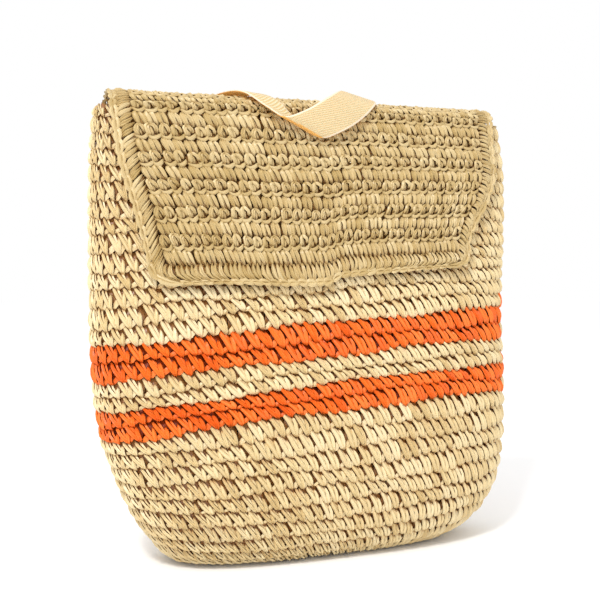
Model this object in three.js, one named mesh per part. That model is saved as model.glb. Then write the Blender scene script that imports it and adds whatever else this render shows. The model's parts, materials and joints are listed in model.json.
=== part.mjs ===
// A crocheted straw backpack that stands on its base: a striped shell, a flap over the mouth and cotton webbing.
// Millimetres, +Z up. The origin is the middle of the base, the front faces -Y and +X is the viewer's right.
import * as THREE from 'three';

// Straw shell
const BAG_WIDTH = 328;
const BAG_HEIGHT = 342;
const BAG_DEPTH = 104;
const WALL = 4;
const BACK_LEAN = 20;
const CORNER_POWER = 2.7;
const SEAM_ANGLE = -28;

// Rounds of crochet, counted up from the base
const ROUNDS = 30;
const STRIPE_LOWER_START = 10;
const STRIPE_LOWER_END = 12;
const STRIPE_UPPER_START = 14;
const STRIPE_UPPER_END = 16;
const FLOOR_ROUND = 1.4;
const FLOOR_INSET = 0.14;

// Flap
const FLAP_THICKNESS = 4;
const FLAP_MARGIN_LEFT = 19;
const FLAP_MARGIN_RIGHT = 8;
const FLAP_TAPER_LEFT = 21;
const FLAP_TAPER_RIGHT = 37;
const FLAP_DROP = 126;
const FLAP_CORNER = 14;
const FLAP_CREST = 11;
const FLAP_STANDOFF = 2;
const EDGING_DIAMETER = 5;
const EDGING_CLEARANCE = 0.6;

// Cotton webbing
const WEBBING_WIDTH = 25;
const WEBBING_THICKNESS = 1.6;
const LOOP_SPREAD = 110;
const LOOP_TAIL = 28;
const STRAP_TOP = BAG_HEIGHT - 46;
const STRAP_FOOT = 50;
const STRAP_FOOT_SPREAD = 176;
const STRAP_BULGE = 46;

// Space between neighbouring pieces, also as the share of a round that each band gives up at its edges
const GAP = 0.3;
const HALF_GAP_ROUNDS = GAP / 2 * ROUNDS / BAG_HEIGHT;

// How finely the curves are cut
const SIDES = 60;
const FLAP_ACROSS = 24;
const ARC_STEPS = 7;
const DROP_STEPS = 12;
const EDGING_SIDES = 8;
const EDGING_STEPS = 84;
const LOOP_STEPS = 60;
const STRAP_STEPS = 26;

// Shape of the shell. Widths are shares of half the width, depths of the depth, heights of the height.
const FORM = table(
  ['round', 'left', 'right', 'front', 'back', 'lowLeft', 'lowMiddle', 'lowRight'],
  [
    [0.0, 0.62, 0.62, 0.3, 0.28, 0.0, 0.0, 0.0],
    [1.0, 0.685, 0.74, 0.4, 0.33, 0.012, 0.012, 0.022],
    [2.5, 0.75, 0.87, 0.48, 0.37, 0.045, 0.045, 0.068],
    [5.0, 0.84, 0.965, 0.545, 0.4, 0.11, 0.125, 0.15],
    [8.0, 0.915, 1.0, 0.56, 0.41, 0.195, 0.232, 0.258],
    [10.5, 0.96, 1.01, 0.55, 0.41, 0.262, 0.328, 0.347],
    [14.0, 0.99, 1.015, 0.51, 0.41, 0.367, 0.425, 0.455],
    [17.0, 1.0, 1.025, 0.46, 0.4, 0.475, 0.53, 0.56],
    [22.0, 1.0, 1.06, 0.36, 0.38, 0.665, 0.692, 0.7],
    [26.5, 0.995, 1.08, 0.26, 0.35, 0.83, 0.84, 0.846],
    [30.0, 0.975, 1.06, 0.17, 0.32, 0.952, 0.957, 0.965],
  ],
);

// Outline of the flap, from its hinge down to its lower edge, as shares of its drop and of each side's taper
const FLAP_OUTLINE = table(
  ['drop', 'taperLeft', 'taperRight'],
  [
    [0.0, 0.0, 0.0],
    [0.35, 0.24, 0.06],
    [0.55, 0.55, 0.34],
    [0.72, 0.76, 0.75],
    [0.85, 0.92, 0.96],
    [1.0, 1.0, 1.0],
  ],
);

// Wave of the flap's lower edge: the share of the drop that is missing at each share of its width
const FLAP_WAVE = table(
  ['across', 'lift'],
  [
    [0.0, 0.0],
    [0.2, 0.008],
    [0.35, 0.0],
    [0.5, 0.0],
    [0.57, 0.045],
    [0.73, 0.06],
    [1.0, 0.08],
  ],
);

// Middle line of the grab loop, from its left end to its right end. It lies on the flap and on the back wall:
// side is a share of half its spread, along runs from -1 at its sewn ends to 0 at the rim and on down the flap,
// proud is how far it stands off, as a share of its width. Turn and tip aim its width, and spread is how much
// longer than the width a slanted fold is.
const LOOP_LEFT = -1.09;
const LOOP_RIGHT = 0.91;
const LOOP = table(
  ['step', 'side', 'along', 'proud', 'turn', 'tip', 'spread'],
  [
    [0, LOOP_LEFT, -1.0, 0.0, 0, 0, 1.0],
    [1, LOOP_LEFT, -0.5, 0.0, 0, 0, 1.0],
    [2, LOOP_LEFT, 0.0, 0.06, 0, 0, 1.0],
    [3, -1.05, 0.1, 0.1, 0, 0, 1.0],
    [4, -0.94, 0.2, 0.12, 4, 0, 1.0],
    [5, -0.74, 0.31, 0.2, 12, -8, 1.05],
    [6, -0.48, 0.4, 0.22, 22, -10, 1.15],
    [7, -0.22, 0.45, 0.22, 26, -8, 1.3],
    [8, 0.06, 0.43, 0.32, 26, -6, 1.3],
    [9, 0.4, 0.37, 0.3, 26, -4, 1.3],
    [10, 0.7, 0.29, 0.24, 22, 0, 1.25],
    [11, 0.86, 0.19, 0.16, 8, 0, 1.1],
    [12, LOOP_RIGHT, 0.1, 0.1, 0, 0, 1.0],
    [13, LOOP_RIGHT, 0.0, 0.06, 0, 0, 1.0],
    [14, LOOP_RIGHT, -0.5, 0.0, 0, 0, 1.0],
    [15, LOOP_RIGHT, -1.0, 0.0, 0, 0, 1.0],
  ],
);

function table(columns, rows) {
  return { columns, rows };
}

// Smooth reading of a table's column that never swings past its rows
function read(source, name, at) {
  const column = source.columns.indexOf(name);
  const xs = source.rows.map((row) => row[0]);
  const ys = source.rows.map((row) => row[column]);
  const last = xs.length - 1;
  const x = THREE.MathUtils.clamp(at, xs[0], xs[last]);
  const chord = (i) => (ys[i + 1] - ys[i]) / (xs[i + 1] - xs[i]);
  const slope = (i) => {
    if (i === 0) return chord(0);
    if (i === last) return chord(last - 1);
    if (chord(i - 1) * chord(i) <= 0) return 0;
    const before = xs[i] - xs[i - 1];
    const after = xs[i + 1] - xs[i];
    const weightBefore = 2 * after + before;
    const weightAfter = after + 2 * before;
    return (weightBefore + weightAfter) / (weightBefore / chord(i - 1) + weightAfter / chord(i));
  };
  let i = 0;
  while (i < last - 1 && x > xs[i + 1]) i += 1;
  const span = xs[i + 1] - xs[i];
  const s = (x - xs[i]) / span;
  const start = (1 + 2 * s) * (1 - s) ** 2 * ys[i] + s * (1 - s) ** 2 * span * slope(i);
  const end = s * s * (3 - 2 * s) * ys[i + 1] + s * s * (s - 1) * span * slope(i + 1);
  return start + end;
}

// Plan of the shell at one round. The reach runs from -1 at the left side to 1 at the right.
function formPoint(reach, isBack, round) {
  const width = read(FORM, reach > 0 ? 'right' : 'left', round) * BAG_WIDTH / 2;
  const depth = read(FORM, isBack ? 'back' : 'front', round) * BAG_DEPTH;
  const low = { left: read(FORM, 'lowLeft', round), right: read(FORM, 'lowRight', round) };
  const middle = read(FORM, 'lowMiddle', round);
  const tilt = (low.right - low.left) / 2 * reach;
  const dip = ((low.right + low.left) / 2 - middle) * Math.abs(reach) ** 3;
  const z = BAG_HEIGHT * (middle + tilt + dip);
  const out = Math.max(0, 1 - Math.abs(reach) ** CORNER_POWER) ** (1 / CORNER_POWER);
  const lean = BACK_LEAN * z / BAG_HEIGHT;
  return new THREE.Vector3(width * reach, (isBack ? depth : -depth) * out + lean, z);
}

// Point on the outside of the shell at an angle from +X, counter-clockwise seen from above
function wallPoint(angle, round) {
  const c = Math.cos(angle);
  const s = Math.sin(angle);
  const radius = (Math.abs(c) ** CORNER_POWER + Math.abs(s) ** CORNER_POWER) ** (-1 / CORNER_POWER);
  return formPoint(c * radius, s > 0, round);
}

// Direction straight out of the shell
function wallNormal(angle, round) {
  const step = 0.02;
  const along = wallPoint(angle + step, round).sub(wallPoint(angle - step, round));
  const low = Math.max(0, round - step);
  const high = Math.min(ROUNDS, round + step);
  const up = wallPoint(angle, high).sub(wallPoint(angle, low));
  return along.cross(up).normalize();
}

// Share of a turn since the seam: each round climbs by one row on its way around
function turn(angle) {
  const start = THREE.MathUtils.degToRad(SEAM_ANGLE);
  const full = 2 * Math.PI;
  return (((start - angle) % full) + full) % full / full;
}

// A closed loft around the shell. A station gives the place of one ring of points at an angle.
function loft(stations) {
  const profile = stations.map((station, index) => new THREE.Vector2(1, index));
  const geometry = new THREE.LatheGeometry(profile, SIDES);
  const position = geometry.getAttribute('position');
  for (let k = 0; k < position.count; k += 1) {
    const side = Math.floor(k / stations.length) % SIDES;
    const angle = (side + 0.5) * 2 * Math.PI / SIDES;
    const point = stations[k % stations.length](angle);
    position.setXYZ(k, point.x, point.y, point.z);
  }
  return geometry;
}

// Stations up the outside of the wall, or down its inside, between two edges
function wallStations(lower, upper, steps, depth) {
  return Array.from({ length: steps + 1 }, (unused, k) => (angle) => {
    const share = depth > 0 ? 1 - k / steps : k / steps;
    const round = THREE.MathUtils.lerp(lower(angle), upper(angle), share);
    return wallPoint(angle, round).addScaledVector(wallNormal(angle, round), -depth);
  });
}

// One band of the shell between two rounds, open above and below
function band(start, end, steps) {
  const lower = (angle) => start + turn(angle) + HALF_GAP_ROUNDS;
  const upper = (angle) => (end < ROUNDS ? end + turn(angle) - HALF_GAP_ROUNDS : ROUNDS);
  const stations = [...wallStations(lower, upper, steps, 0), ...wallStations(lower, upper, steps, WALL)];
  return loft([...stations, stations[0]]);
}

// The base and the lowest band, one piece with a floor
function bowl(end, steps) {
  const upper = (angle) => end + turn(angle) - HALF_GAP_ROUNDS;
  const disc = (inset, height) => (angle) => wallPoint(angle, 0).multiplyScalar(1 - inset).setZ(height);
  const base = [disc(1, 0), disc(0.5, 0)];
  const outside = wallStations(() => 0, upper, steps, 0);
  const inside = wallStations(() => FLOOR_ROUND, upper, steps, WALL);
  const floor = [disc(FLOOR_INSET, WALL), disc(0.5, WALL), disc(1, WALL)];
  return loft([...base, ...outside, ...inside, ...floor]);
}

// The round at which the front of the shell reaches a height
function roundAtHeight(reach, height, isBack) {
  let low = 0;
  let high = ROUNDS;
  for (let k = 0; k < 24; k += 1) {
    const middle = (low + high) / 2;
    if (formPoint(reach, isBack, middle).z < height) low = middle;
    else high = middle;
  }
  return (low + high) / 2;
}

// Outside of the shell's front or back at a place seen from the front
function surfaceAt(x, z, isBack) {
  let reach = x / (BAG_WIDTH / 2);
  let round = ROUNDS / 2;
  for (let k = 0; k < 4; k += 1) {
    round = roundAtHeight(reach, z, isBack);
    reach = x / (read(FORM, x > 0 ? 'right' : 'left', round) * BAG_WIDTH / 2);
    reach = THREE.MathUtils.clamp(reach, -0.97, 0.97);
  }
  return formPoint(reach, isBack, round);
}

// Middle of the flap's thickness. Across runs from 0 at the left to 1 at the right, and along from 0 at the
// back rim to 1 at the lower edge.
const ARC_SHARE = ARC_STEPS / (ARC_STEPS + DROP_STEPS);
function flapPoint(across, along) {
  const drop = Math.max(0, (along - ARC_SHARE) / (1 - ARC_SHARE));
  const half = BAG_WIDTH / 2;
  const fromCorner = Math.max(0, FLAP_CORNER - (1 - drop) * FLAP_DROP);
  const rounding = FLAP_CORNER - Math.sqrt(FLAP_CORNER ** 2 - fromCorner ** 2);
  const left = FLAP_MARGIN_LEFT + read(FLAP_OUTLINE, 'taperLeft', drop) * FLAP_TAPER_LEFT + rounding - half;
  const right = half - FLAP_MARGIN_RIGHT - read(FLAP_OUTLINE, 'taperRight', drop) * FLAP_TAPER_RIGHT - rounding;
  const x = THREE.MathUtils.lerp(left, right, across);
  const frontRim = surfaceAt(x, BAG_HEIGHT, false);
  const backRim = surfaceAt(x, BAG_HEIGHT, true);
  const standoff = FLAP_STANDOFF + FLAP_THICKNESS / 2;
  if (along < ARC_SHARE) {
    const swing = Math.PI * along / ARC_SHARE;
    const front = frontRim.y - standoff;
    const back = backRim.y - WALL / 2;
    const y = (front + back) / 2 + (back - front) / 2 * Math.cos(swing);
    const z = THREE.MathUtils.lerp(backRim.z, frontRim.z, along / ARC_SHARE) + GAP + FLAP_CREST * Math.sin(swing);
    return new THREE.Vector3(x, y, z);
  }
  const length = FLAP_DROP * (1 - read(FLAP_WAVE, 'lift', across));
  const z = frontRim.z + GAP - length * drop;
  return new THREE.Vector3(x, surfaceAt(x, z, false).y - standoff, z);
}

// A sheet with a thickness, bent over a surface. Its box keeps it closed.
function sheet(place, across, along, thickness) {
  const geometry = new THREE.BoxGeometry(1, 1, 1, across, along, 1);
  const position = geometry.getAttribute('position');
  const step = 0.002;
  for (let k = 0; k < position.count; k += 1) {
    const s = position.getX(k) + 0.5;
    const t = position.getY(k) + 0.5;
    const side = position.getZ(k);
    const over = place(Math.min(1, s + step), t).sub(place(Math.max(0, s - step), t));
    const down = place(s, Math.min(1, t + step)).sub(place(s, Math.max(0, t - step)));
    const point = place(s, t).addScaledVector(over.cross(down).normalize(), side * thickness);
    position.setXYZ(k, point.x, point.y, point.z);
  }
  return geometry;
}

// The chain along the flap's free edges: down the left side, along the lower edge and up the right side
function edgingPath() {
  const sideSteps = 14;
  const bottomSteps = 18;
  const start = 0.7 * ARC_SHARE;
  const downSide = Array.from({ length: sideSteps + 1 }, (unused, k) => start + (1 - start) * k / sideSteps);
  const left = downSide.map((along) => [0, along]);
  const right = downSide.map((along) => [1, along]).reverse();
  const bottom = Array.from({ length: bottomSteps - 1 }, (unused, k) => [(k + 1) / bottomSteps, 1]);
  const outline = [...left, ...bottom, ...right];
  const points = outline.map(([across, along]) => flapPoint(across, along));
  const middleOfDrop = 0.8;
  return points.map((point, k) => {
    const before = points[Math.max(0, k - 1)];
    const after = points[Math.min(points.length - 1, k + 1)];
    const heading = after.clone().sub(before).normalize();
    const inward = flapPoint(0.5, Math.min(outline[k][1], middleOfDrop)).sub(point);
    const away = inward.addScaledVector(heading, -inward.dot(heading)).normalize().negate();
    return point.clone().addScaledVector(away, EDGING_DIAMETER / 2 + EDGING_CLEARANCE);
  });
}

function cordAlong(points, diameter, sides, steps) {
  const section = new THREE.Shape();
  section.absellipse(0, 0, diameter / 2, diameter / 2, 0, 2 * Math.PI, false);
  const path = new THREE.CatmullRomCurve3(points, false, 'centripetal');
  return new THREE.ExtrudeGeometry(section, {
    steps,
    curveSegments: sides / 2,
    bevelEnabled: false,
    extrudePath: path,
  });
}

// Place on the back wall, with the directions across it, up it and out of it
function backFrame(x, height) {
  const point = surfaceAt(x, height, true);
  const onward = surfaceAt(x, height + 1, true).sub(surfaceAt(x, height - 1, true)).normalize();
  const over = surfaceAt(x + 1, height, true).sub(surfaceAt(x - 1, height, true)).normalize();
  return { point, over, onward, out: onward.clone().cross(over).normalize() };
}

// The same on the flap's outer face, where along runs down the flap, or on the back wall where it is below 0
function restingFrame(x, along) {
  if (along < 0) return backFrame(x, surfaceAt(x, BAG_HEIGHT, true).z + along * LOOP_TAIL);
  const left = flapPoint(0, along).x;
  const right = flapPoint(1, along).x;
  const across = (x - left) / (right - left);
  const step = 0.01;
  const over = flapPoint(across + step, along).sub(flapPoint(across - step, along)).normalize();
  const onward = flapPoint(across, along + step).sub(flapPoint(across, Math.max(0, along - step))).normalize();
  const out = onward.clone().cross(over).normalize();
  return { point: flapPoint(across, along).addScaledVector(out, FLAP_THICKNESS / 2), over, onward, out };
}

// Both edges of the grab loop at one row of its table
function loopEdges(step) {
  const at = Object.fromEntries(LOOP.columns.map((name) => [name, read(LOOP, name, step)]));
  const frame = restingFrame(at.side * LOOP_SPREAD / 2, at.along);
  const lift = GAP + WEBBING_THICKNESS / 2 + at.proud * WEBBING_WIDTH;
  const middle = frame.point.addScaledVector(frame.out, lift);
  const turned = THREE.MathUtils.degToRad(at.turn);
  const tipped = THREE.MathUtils.degToRad(at.tip);
  const half = new THREE.Vector3()
    .addScaledVector(frame.over, Math.cos(turned) * Math.cos(tipped))
    .addScaledVector(frame.onward, Math.sin(turned) * Math.cos(tipped))
    .addScaledVector(frame.out, Math.sin(tipped))
    .multiplyScalar(at.spread * WEBBING_WIDTH / 2);
  return [middle.clone().sub(half), middle.add(half)];
}

// A flat band between two smooth edges
function webbing(edges, steps) {
  const sides = [0, 1].map((side) => {
    const points = edges.map((pair) => pair[side]);
    return new THREE.CatmullRomCurve3(points, false, 'centripetal');
  });
  const place = (across, along) => sides[0].getPoint(along).lerp(sides[1].getPoint(along), across);
  return sheet(place, 2, steps, WEBBING_THICKNESS);
}

// Middle of a shoulder strap's thickness. It is sewn flat at its two ends and hangs slack between them.
function strapPoint(side, across, along) {
  const patch = 0.1;
  const slack = THREE.MathUtils.clamp((along - patch) / (1 - 2 * patch), 0, 1);
  const top = (side < 0 ? LOOP_LEFT : LOOP_RIGHT) * LOOP_SPREAD / 2;
  const middle = THREE.MathUtils.lerp(top, side * STRAP_FOOT_SPREAD / 2, THREE.MathUtils.smoothstep(slack, 0, 1));
  const height = THREE.MathUtils.lerp(STRAP_TOP, STRAP_FOOT, along);
  const frame = backFrame(middle + (across - 0.5) * WEBBING_WIDTH, height);
  const bulge = STRAP_BULGE * Math.sin(Math.PI * slack) ** 1.5;
  const seated = frame.point.addScaledVector(frame.out, GAP + WEBBING_THICKNESS / 2);
  return seated.add(new THREE.Vector3(0, bulge, 0));
}

const straw = new THREE.MeshStandardMaterial({ color: 0xdfc697, roughness: 0.75, metalness: 0 });
const flapStraw = new THREE.MeshStandardMaterial({ color: 0xd6bd8c, roughness: 0.75, metalness: 0 });
const orange = new THREE.MeshStandardMaterial({ color: 0xf7692a, roughness: 0.7, metalness: 0 });
const cotton = new THREE.MeshStandardMaterial({ color: 0xefd9a6, roughness: 0.9, metalness: 0 });

const bag = new THREE.Group();

function add(name, geometry, material) {
  const mesh = new THREE.Mesh(geometry, material);
  mesh.name = name;
  bag.add(mesh);
}

add('body_lower', bowl(STRIPE_LOWER_START, 8), straw);
add('stripe_lower', band(STRIPE_LOWER_START, STRIPE_LOWER_END, 2), orange);
add('band_middle', band(STRIPE_LOWER_END, STRIPE_UPPER_START, 2), straw);
add('stripe_upper', band(STRIPE_UPPER_START, STRIPE_UPPER_END, 2), orange);
add('body_upper', band(STRIPE_UPPER_END, ROUNDS, 7), straw);
add('flap', sheet(flapPoint, FLAP_ACROSS, ARC_STEPS + DROP_STEPS, FLAP_THICKNESS), flapStraw);
add('flap_edging', cordAlong(edgingPath(), EDGING_DIAMETER, EDGING_SIDES, EDGING_STEPS), straw);

const loopRows = LOOP.rows.map((row) => loopEdges(row[0]));
add('grab_loop', webbing(loopRows, LOOP_STEPS), cotton);
for (const [name, side] of [['strap_left', -1], ['strap_right', 1]]) {
  const place = (across, along) => strapPoint(side, across, along);
  add(name, sheet(place, 3, STRAP_STEPS, WEBBING_THICKNESS), cotton);
}

export default bag;
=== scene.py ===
# Crocheted paper-straw backpack: a striped shell, a flap over the mouth, and cotton webbing for loop and straps.
# Lengths are in millimetres until a mesh is made, then in metres. The front faces -Y and the base stands on Z 0.
import json
import math

import bpy
import numpy as np
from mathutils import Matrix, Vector

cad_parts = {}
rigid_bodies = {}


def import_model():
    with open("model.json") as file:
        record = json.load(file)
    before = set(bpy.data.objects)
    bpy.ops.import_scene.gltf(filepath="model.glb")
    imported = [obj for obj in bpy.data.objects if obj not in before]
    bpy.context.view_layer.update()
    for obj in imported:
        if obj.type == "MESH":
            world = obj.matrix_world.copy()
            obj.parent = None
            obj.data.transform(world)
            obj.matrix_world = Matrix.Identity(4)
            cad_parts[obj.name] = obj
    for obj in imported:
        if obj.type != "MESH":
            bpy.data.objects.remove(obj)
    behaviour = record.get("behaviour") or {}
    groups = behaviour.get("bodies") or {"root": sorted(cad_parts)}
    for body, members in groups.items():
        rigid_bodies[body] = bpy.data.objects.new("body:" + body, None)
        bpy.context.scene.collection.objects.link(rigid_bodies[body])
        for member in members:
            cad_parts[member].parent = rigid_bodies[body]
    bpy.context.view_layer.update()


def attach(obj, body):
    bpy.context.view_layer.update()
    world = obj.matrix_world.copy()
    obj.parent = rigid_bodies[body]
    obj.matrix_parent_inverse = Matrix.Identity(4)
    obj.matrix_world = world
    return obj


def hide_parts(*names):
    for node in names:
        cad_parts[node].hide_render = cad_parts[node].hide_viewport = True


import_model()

MM = 0.001

# Straw shell, as in the solids
BAG_WIDTH = 328
BAG_HEIGHT = 342
BAG_DEPTH = 104
WALL = 4
BACK_LEAN = 20
CORNER_POWER = 2.7
SEAM_ANGLE = math.radians(-28)
ROUNDS = 30
STRIPE_LOWER_START = 10
STRIPE_LOWER_END = 12
STRIPE_UPPER_START = 14
STRIPE_UPPER_END = 16

# Flap
FLAP_THICKNESS = 4
FLAP_MARGIN_LEFT = 19
FLAP_MARGIN_RIGHT = 8
FLAP_TAPER_LEFT = 21
FLAP_TAPER_RIGHT = 37
FLAP_DROP = 126
FLAP_CORNER = 14
FLAP_CREST = 11
FLAP_STANDOFF = 2
ARC_SHARE = 7 / 19
EDGING_CLEARANCE = 0.6
GAP = 0.3

# Cotton webbing
WEBBING_WIDTH = 25
WEBBING_THICKNESS = 1.6
LOOP_SPREAD = 110
LOOP_TAIL = 28
STRAP_TOP = BAG_HEIGHT - 46
STRAP_FOOT = 50
STRAP_FOOT_SPREAD = 176
STRAP_BULGE = 46

# Crochet. A stitch of the shell is about 9 mm wide and 11.4 mm high, one of the flap 8 mm by 9.9 mm.
COLUMNS = 92
LEVEL_OF_STRIPES = 14.0
WIDER_AT_LEFT = 0.15
BASE_COLUMNS = 60
BASE_ROUNDS = 2.7
SHELL_STITCH = (9.0, 11.4)
SHELL_SINK = 2.6
STITCHES_A_TURN = 91.58
RIM_PITCH = 10.5
FLAP_COLUMNS = 33
FLAP_ROWS = 19
FLAP_STITCH = (8.0, 9.9)
BORDER_SIDE_STITCHES = 26
BORDER_LOWER_STITCHES = 34
BORDER_ACROSS = 0.034
BORDER_ALONG = 0.055
CHAIN_STITCH = (8.0, 3.6)
CHAIN_LINKS = 78
FLOOR_CLEARANCE = 0.2 * MM
CELL_SHIFT = 16
CELL_SPAN = 160


def table(columns, rows):
    return dict(zip(columns, np.array(rows, float).T))


# Form of the shell at a few rounds. Left and right are its reach to the sides, as shares of half the width, and
# front and back as shares of the depth. The low ones are the round's height at its left end, middle and right end.
FORM = table(
    ["round", "left", "right", "front", "back", "lowLeft", "lowMiddle", "lowRight"],
    [
        [0.0, 0.62, 0.62, 0.3, 0.28, 0.0, 0.0, 0.0],
        [1.0, 0.685, 0.74, 0.4, 0.33, 0.012, 0.012, 0.022],
        [2.5, 0.75, 0.87, 0.48, 0.37, 0.045, 0.045, 0.068],
        [5.0, 0.84, 0.965, 0.545, 0.4, 0.11, 0.125, 0.15],
        [8.0, 0.915, 1.0, 0.56, 0.41, 0.195, 0.232, 0.258],
        [10.5, 0.96, 1.01, 0.55, 0.41, 0.262, 0.328, 0.347],
        [14.0, 0.99, 1.015, 0.51, 0.41, 0.367, 0.425, 0.455],
        [17.0, 1.0, 1.025, 0.46, 0.4, 0.475, 0.53, 0.56],
        [22.0, 1.0, 1.06, 0.36, 0.38, 0.665, 0.692, 0.7],
        [26.5, 0.995, 1.08, 0.26, 0.35, 0.83, 0.84, 0.846],
        [30.0, 0.975, 1.06, 0.17, 0.32, 0.952, 0.957, 0.965],
    ],
)
# How much of each side's taper the flap has reached at a share of its drop
FLAP_OUTLINE = table(
    ["drop", "taperLeft", "taperRight"],
    [
        [0.0, 0.0, 0.0],
        [0.35, 0.24, 0.06],
        [0.55, 0.55, 0.34],
        [0.72, 0.76, 0.75],
        [0.85, 0.92, 0.96],
        [1.0, 1.0, 1.0],
    ],
)
# How much shorter the flap is, as a share of its drop, from its left side to its right
FLAP_WAVE = table(
    ["across", "lift"],
    [
        [0.0, 0.0],
        [0.2, 0.008],
        [0.35, 0.0],
        [0.5, 0.0],
        [0.57, 0.045],
        [0.73, 0.06],
        [1.0, 0.08],
    ],
)
# Middle line of the grab loop, from its left end to its right end. Side is a share of half its spread. Along runs
# from -1 at its sewn ends to 0 at the rim and on down the flap. Proud is how far it stands off, as a share of its
# width. Turn and tip aim its width, in degrees, and spread is how much longer than the width a slanted fold is.
LOOP_LEFT = -1.09
LOOP_RIGHT = 0.91
LOOP = table(
    ["step", "side", "along", "proud", "turn", "tip", "spread"],
    [
        [0, LOOP_LEFT, -1.0, 0.0, 0, 0, 1.0],
        [1, LOOP_LEFT, -0.5, 0.0, 0, 0, 1.0],
        [2, LOOP_LEFT, 0.0, 0.05, 0, 0, 1.0],
        [3, -1.05, 0.1, 0.05, 0, 0, 1.0],
        [4, -0.94, 0.2, 0.05, 4, 0, 1.0],
        [5, -0.74, 0.31, 0.1, 12, -6, 1.05],
        [6, -0.48, 0.4, 0.16, 22, -8, 1.15],
        [7, -0.22, 0.45, 0.22, 26, -8, 1.3],
        [8, 0.06, 0.43, 0.32, 26, -6, 1.3],
        [9, 0.4, 0.37, 0.29, 26, -8, 1.3],
        [10, 0.7, 0.29, 0.16, 22, -12, 1.2],
        [11, 0.86, 0.19, 0.12, 8, -12, 1.05],
        [12, LOOP_RIGHT, 0.1, 0.08, 0, -6, 1.0],
        [13, LOOP_RIGHT, 0.0, 0.06, 0, 0, 1.0],
        [14, LOOP_RIGHT, -0.5, 0.0, 0, 0, 1.0],
        [15, LOOP_RIGHT, -1.0, 0.0, 0, 0, 1.0],
    ],
)


# Smooth reading of a table's column that never swings past its rows
def read(source, name, at):
    xs = next(iter(source.values()))
    ys = source[name]
    at = np.clip(at, xs[0], xs[-1])
    span = np.diff(xs)
    chord = np.diff(ys) / span
    slope = np.concatenate([chord[:1], np.zeros(len(xs) - 2), chord[-1:]])
    before, after = chord[:-1], chord[1:]
    weight_before = 2 * span[1:] + span[:-1]
    weight_after = span[1:] + 2 * span[:-1]
    same_way = before * after > 0
    safe_before = np.where(same_way, before, 1)
    safe_after = np.where(same_way, after, 1)
    eased = (weight_before + weight_after) / (weight_before / safe_before + weight_after / safe_after)
    slope[1:-1] = np.where(same_way, eased, 0)
    i = np.clip(np.searchsorted(xs, at, side="right") - 1, 0, len(xs) - 2)
    s = (at - xs[i]) / span[i]
    start = (1 + 2 * s) * (1 - s) ** 2 * ys[i] + s * (1 - s) ** 2 * span[i] * slope[i]
    end = s * s * (3 - 2 * s) * ys[i + 1] + s * s * (s - 1) * span[i] * slope[i + 1]
    return start + end


# Outside of the shell at one round. The reach runs from -1 at the left side to 1 at the right.
def form_point(reach, is_back, level):
    width = np.where(reach > 0, read(FORM, "right", level), read(FORM, "left", level)) * BAG_WIDTH / 2
    depth = np.where(is_back, read(FORM, "back", level), -read(FORM, "front", level)) * BAG_DEPTH
    low_left, middle, low_right = (read(FORM, name, level) for name in ("lowLeft", "lowMiddle", "lowRight"))
    tilt = (low_right - low_left) / 2 * reach
    dip = ((low_right + low_left) / 2 - middle) * np.abs(reach) ** 3
    z = BAG_HEIGHT * (middle + tilt + dip)
    out = np.maximum(0, 1 - np.abs(reach) ** CORNER_POWER) ** (1 / CORNER_POWER)
    return np.stack([width * reach, depth * out + BACK_LEAN * z / BAG_HEIGHT, z], axis=-1)


def wall_point(angle, level):
    c, s = np.cos(angle), np.sin(angle)
    radius = (np.abs(c) ** CORNER_POWER + np.abs(s) ** CORNER_POWER) ** (-1 / CORNER_POWER)
    return form_point(np.clip(c * radius, -1, 1), s > 0, level)


# Outside of the shell's front or back at a place seen from the front
def surface_at(x, z, is_back):
    x, z = np.broadcast_arrays(np.asarray(x, float), np.asarray(z, float))
    reach = x / (BAG_WIDTH / 2)
    for _ in range(4):
        low, high = np.zeros_like(x), np.full_like(x, ROUNDS)
        for _ in range(24):
            middle = (low + high) / 2
            below = form_point(reach, is_back, middle)[..., 2] < z
            low, high = np.where(below, middle, low), np.where(below, high, middle)
        level = (low + high) / 2
        half = np.where(x > 0, read(FORM, "right", level), read(FORM, "left", level)) * BAG_WIDTH / 2
        reach = np.clip(x / half, -0.97, 0.97)
    return form_point(reach, is_back, level)


def lerp(a, b, share):
    return a + (b - a) * share


# Middle of the flap's thickness, across from 0 at the left to 1, along from 0 at the back rim to 1 at the low edge
def flap_point(across, along):
    across, along = np.broadcast_arrays(np.asarray(across, float), np.asarray(along, float))
    drop = np.maximum(0, (along - ARC_SHARE) / (1 - ARC_SHARE))
    half = BAG_WIDTH / 2
    from_corner = np.clip(FLAP_CORNER - (1 - drop) * FLAP_DROP, 0, FLAP_CORNER)
    rounding = FLAP_CORNER - np.sqrt(FLAP_CORNER**2 - from_corner**2)
    left = FLAP_MARGIN_LEFT + read(FLAP_OUTLINE, "taperLeft", drop) * FLAP_TAPER_LEFT + rounding - half
    right = half - FLAP_MARGIN_RIGHT - read(FLAP_OUTLINE, "taperRight", drop) * FLAP_TAPER_RIGHT - rounding
    x = lerp(left, right, across)
    front_rim = surface_at(x, BAG_HEIGHT, False)
    back_rim = surface_at(x, BAG_HEIGHT, True)
    standoff = FLAP_STANDOFF + FLAP_THICKNESS / 2
    swing = np.pi * np.minimum(along, ARC_SHARE) / ARC_SHARE
    front = front_rim[..., 1] - standoff
    back = back_rim[..., 1] - WALL / 2
    arc_y = (front + back) / 2 + (back - front) / 2 * np.cos(swing)
    arc_z = lerp(back_rim[..., 2], front_rim[..., 2], swing / np.pi) + GAP + FLAP_CREST * np.sin(swing)
    length = FLAP_DROP * (1 - read(FLAP_WAVE, "lift", across))
    drop_z = front_rim[..., 2] + GAP - length * drop
    drop_y = surface_at(x, drop_z, False)[..., 1] - standoff
    on_arc = along < ARC_SHARE
    return np.stack([x, np.where(on_arc, arc_y, drop_y), np.where(on_arc, arc_z, drop_z)], axis=-1)


def unit(vectors):
    return vectors / np.linalg.norm(vectors, axis=-1, keepdims=True)


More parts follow.
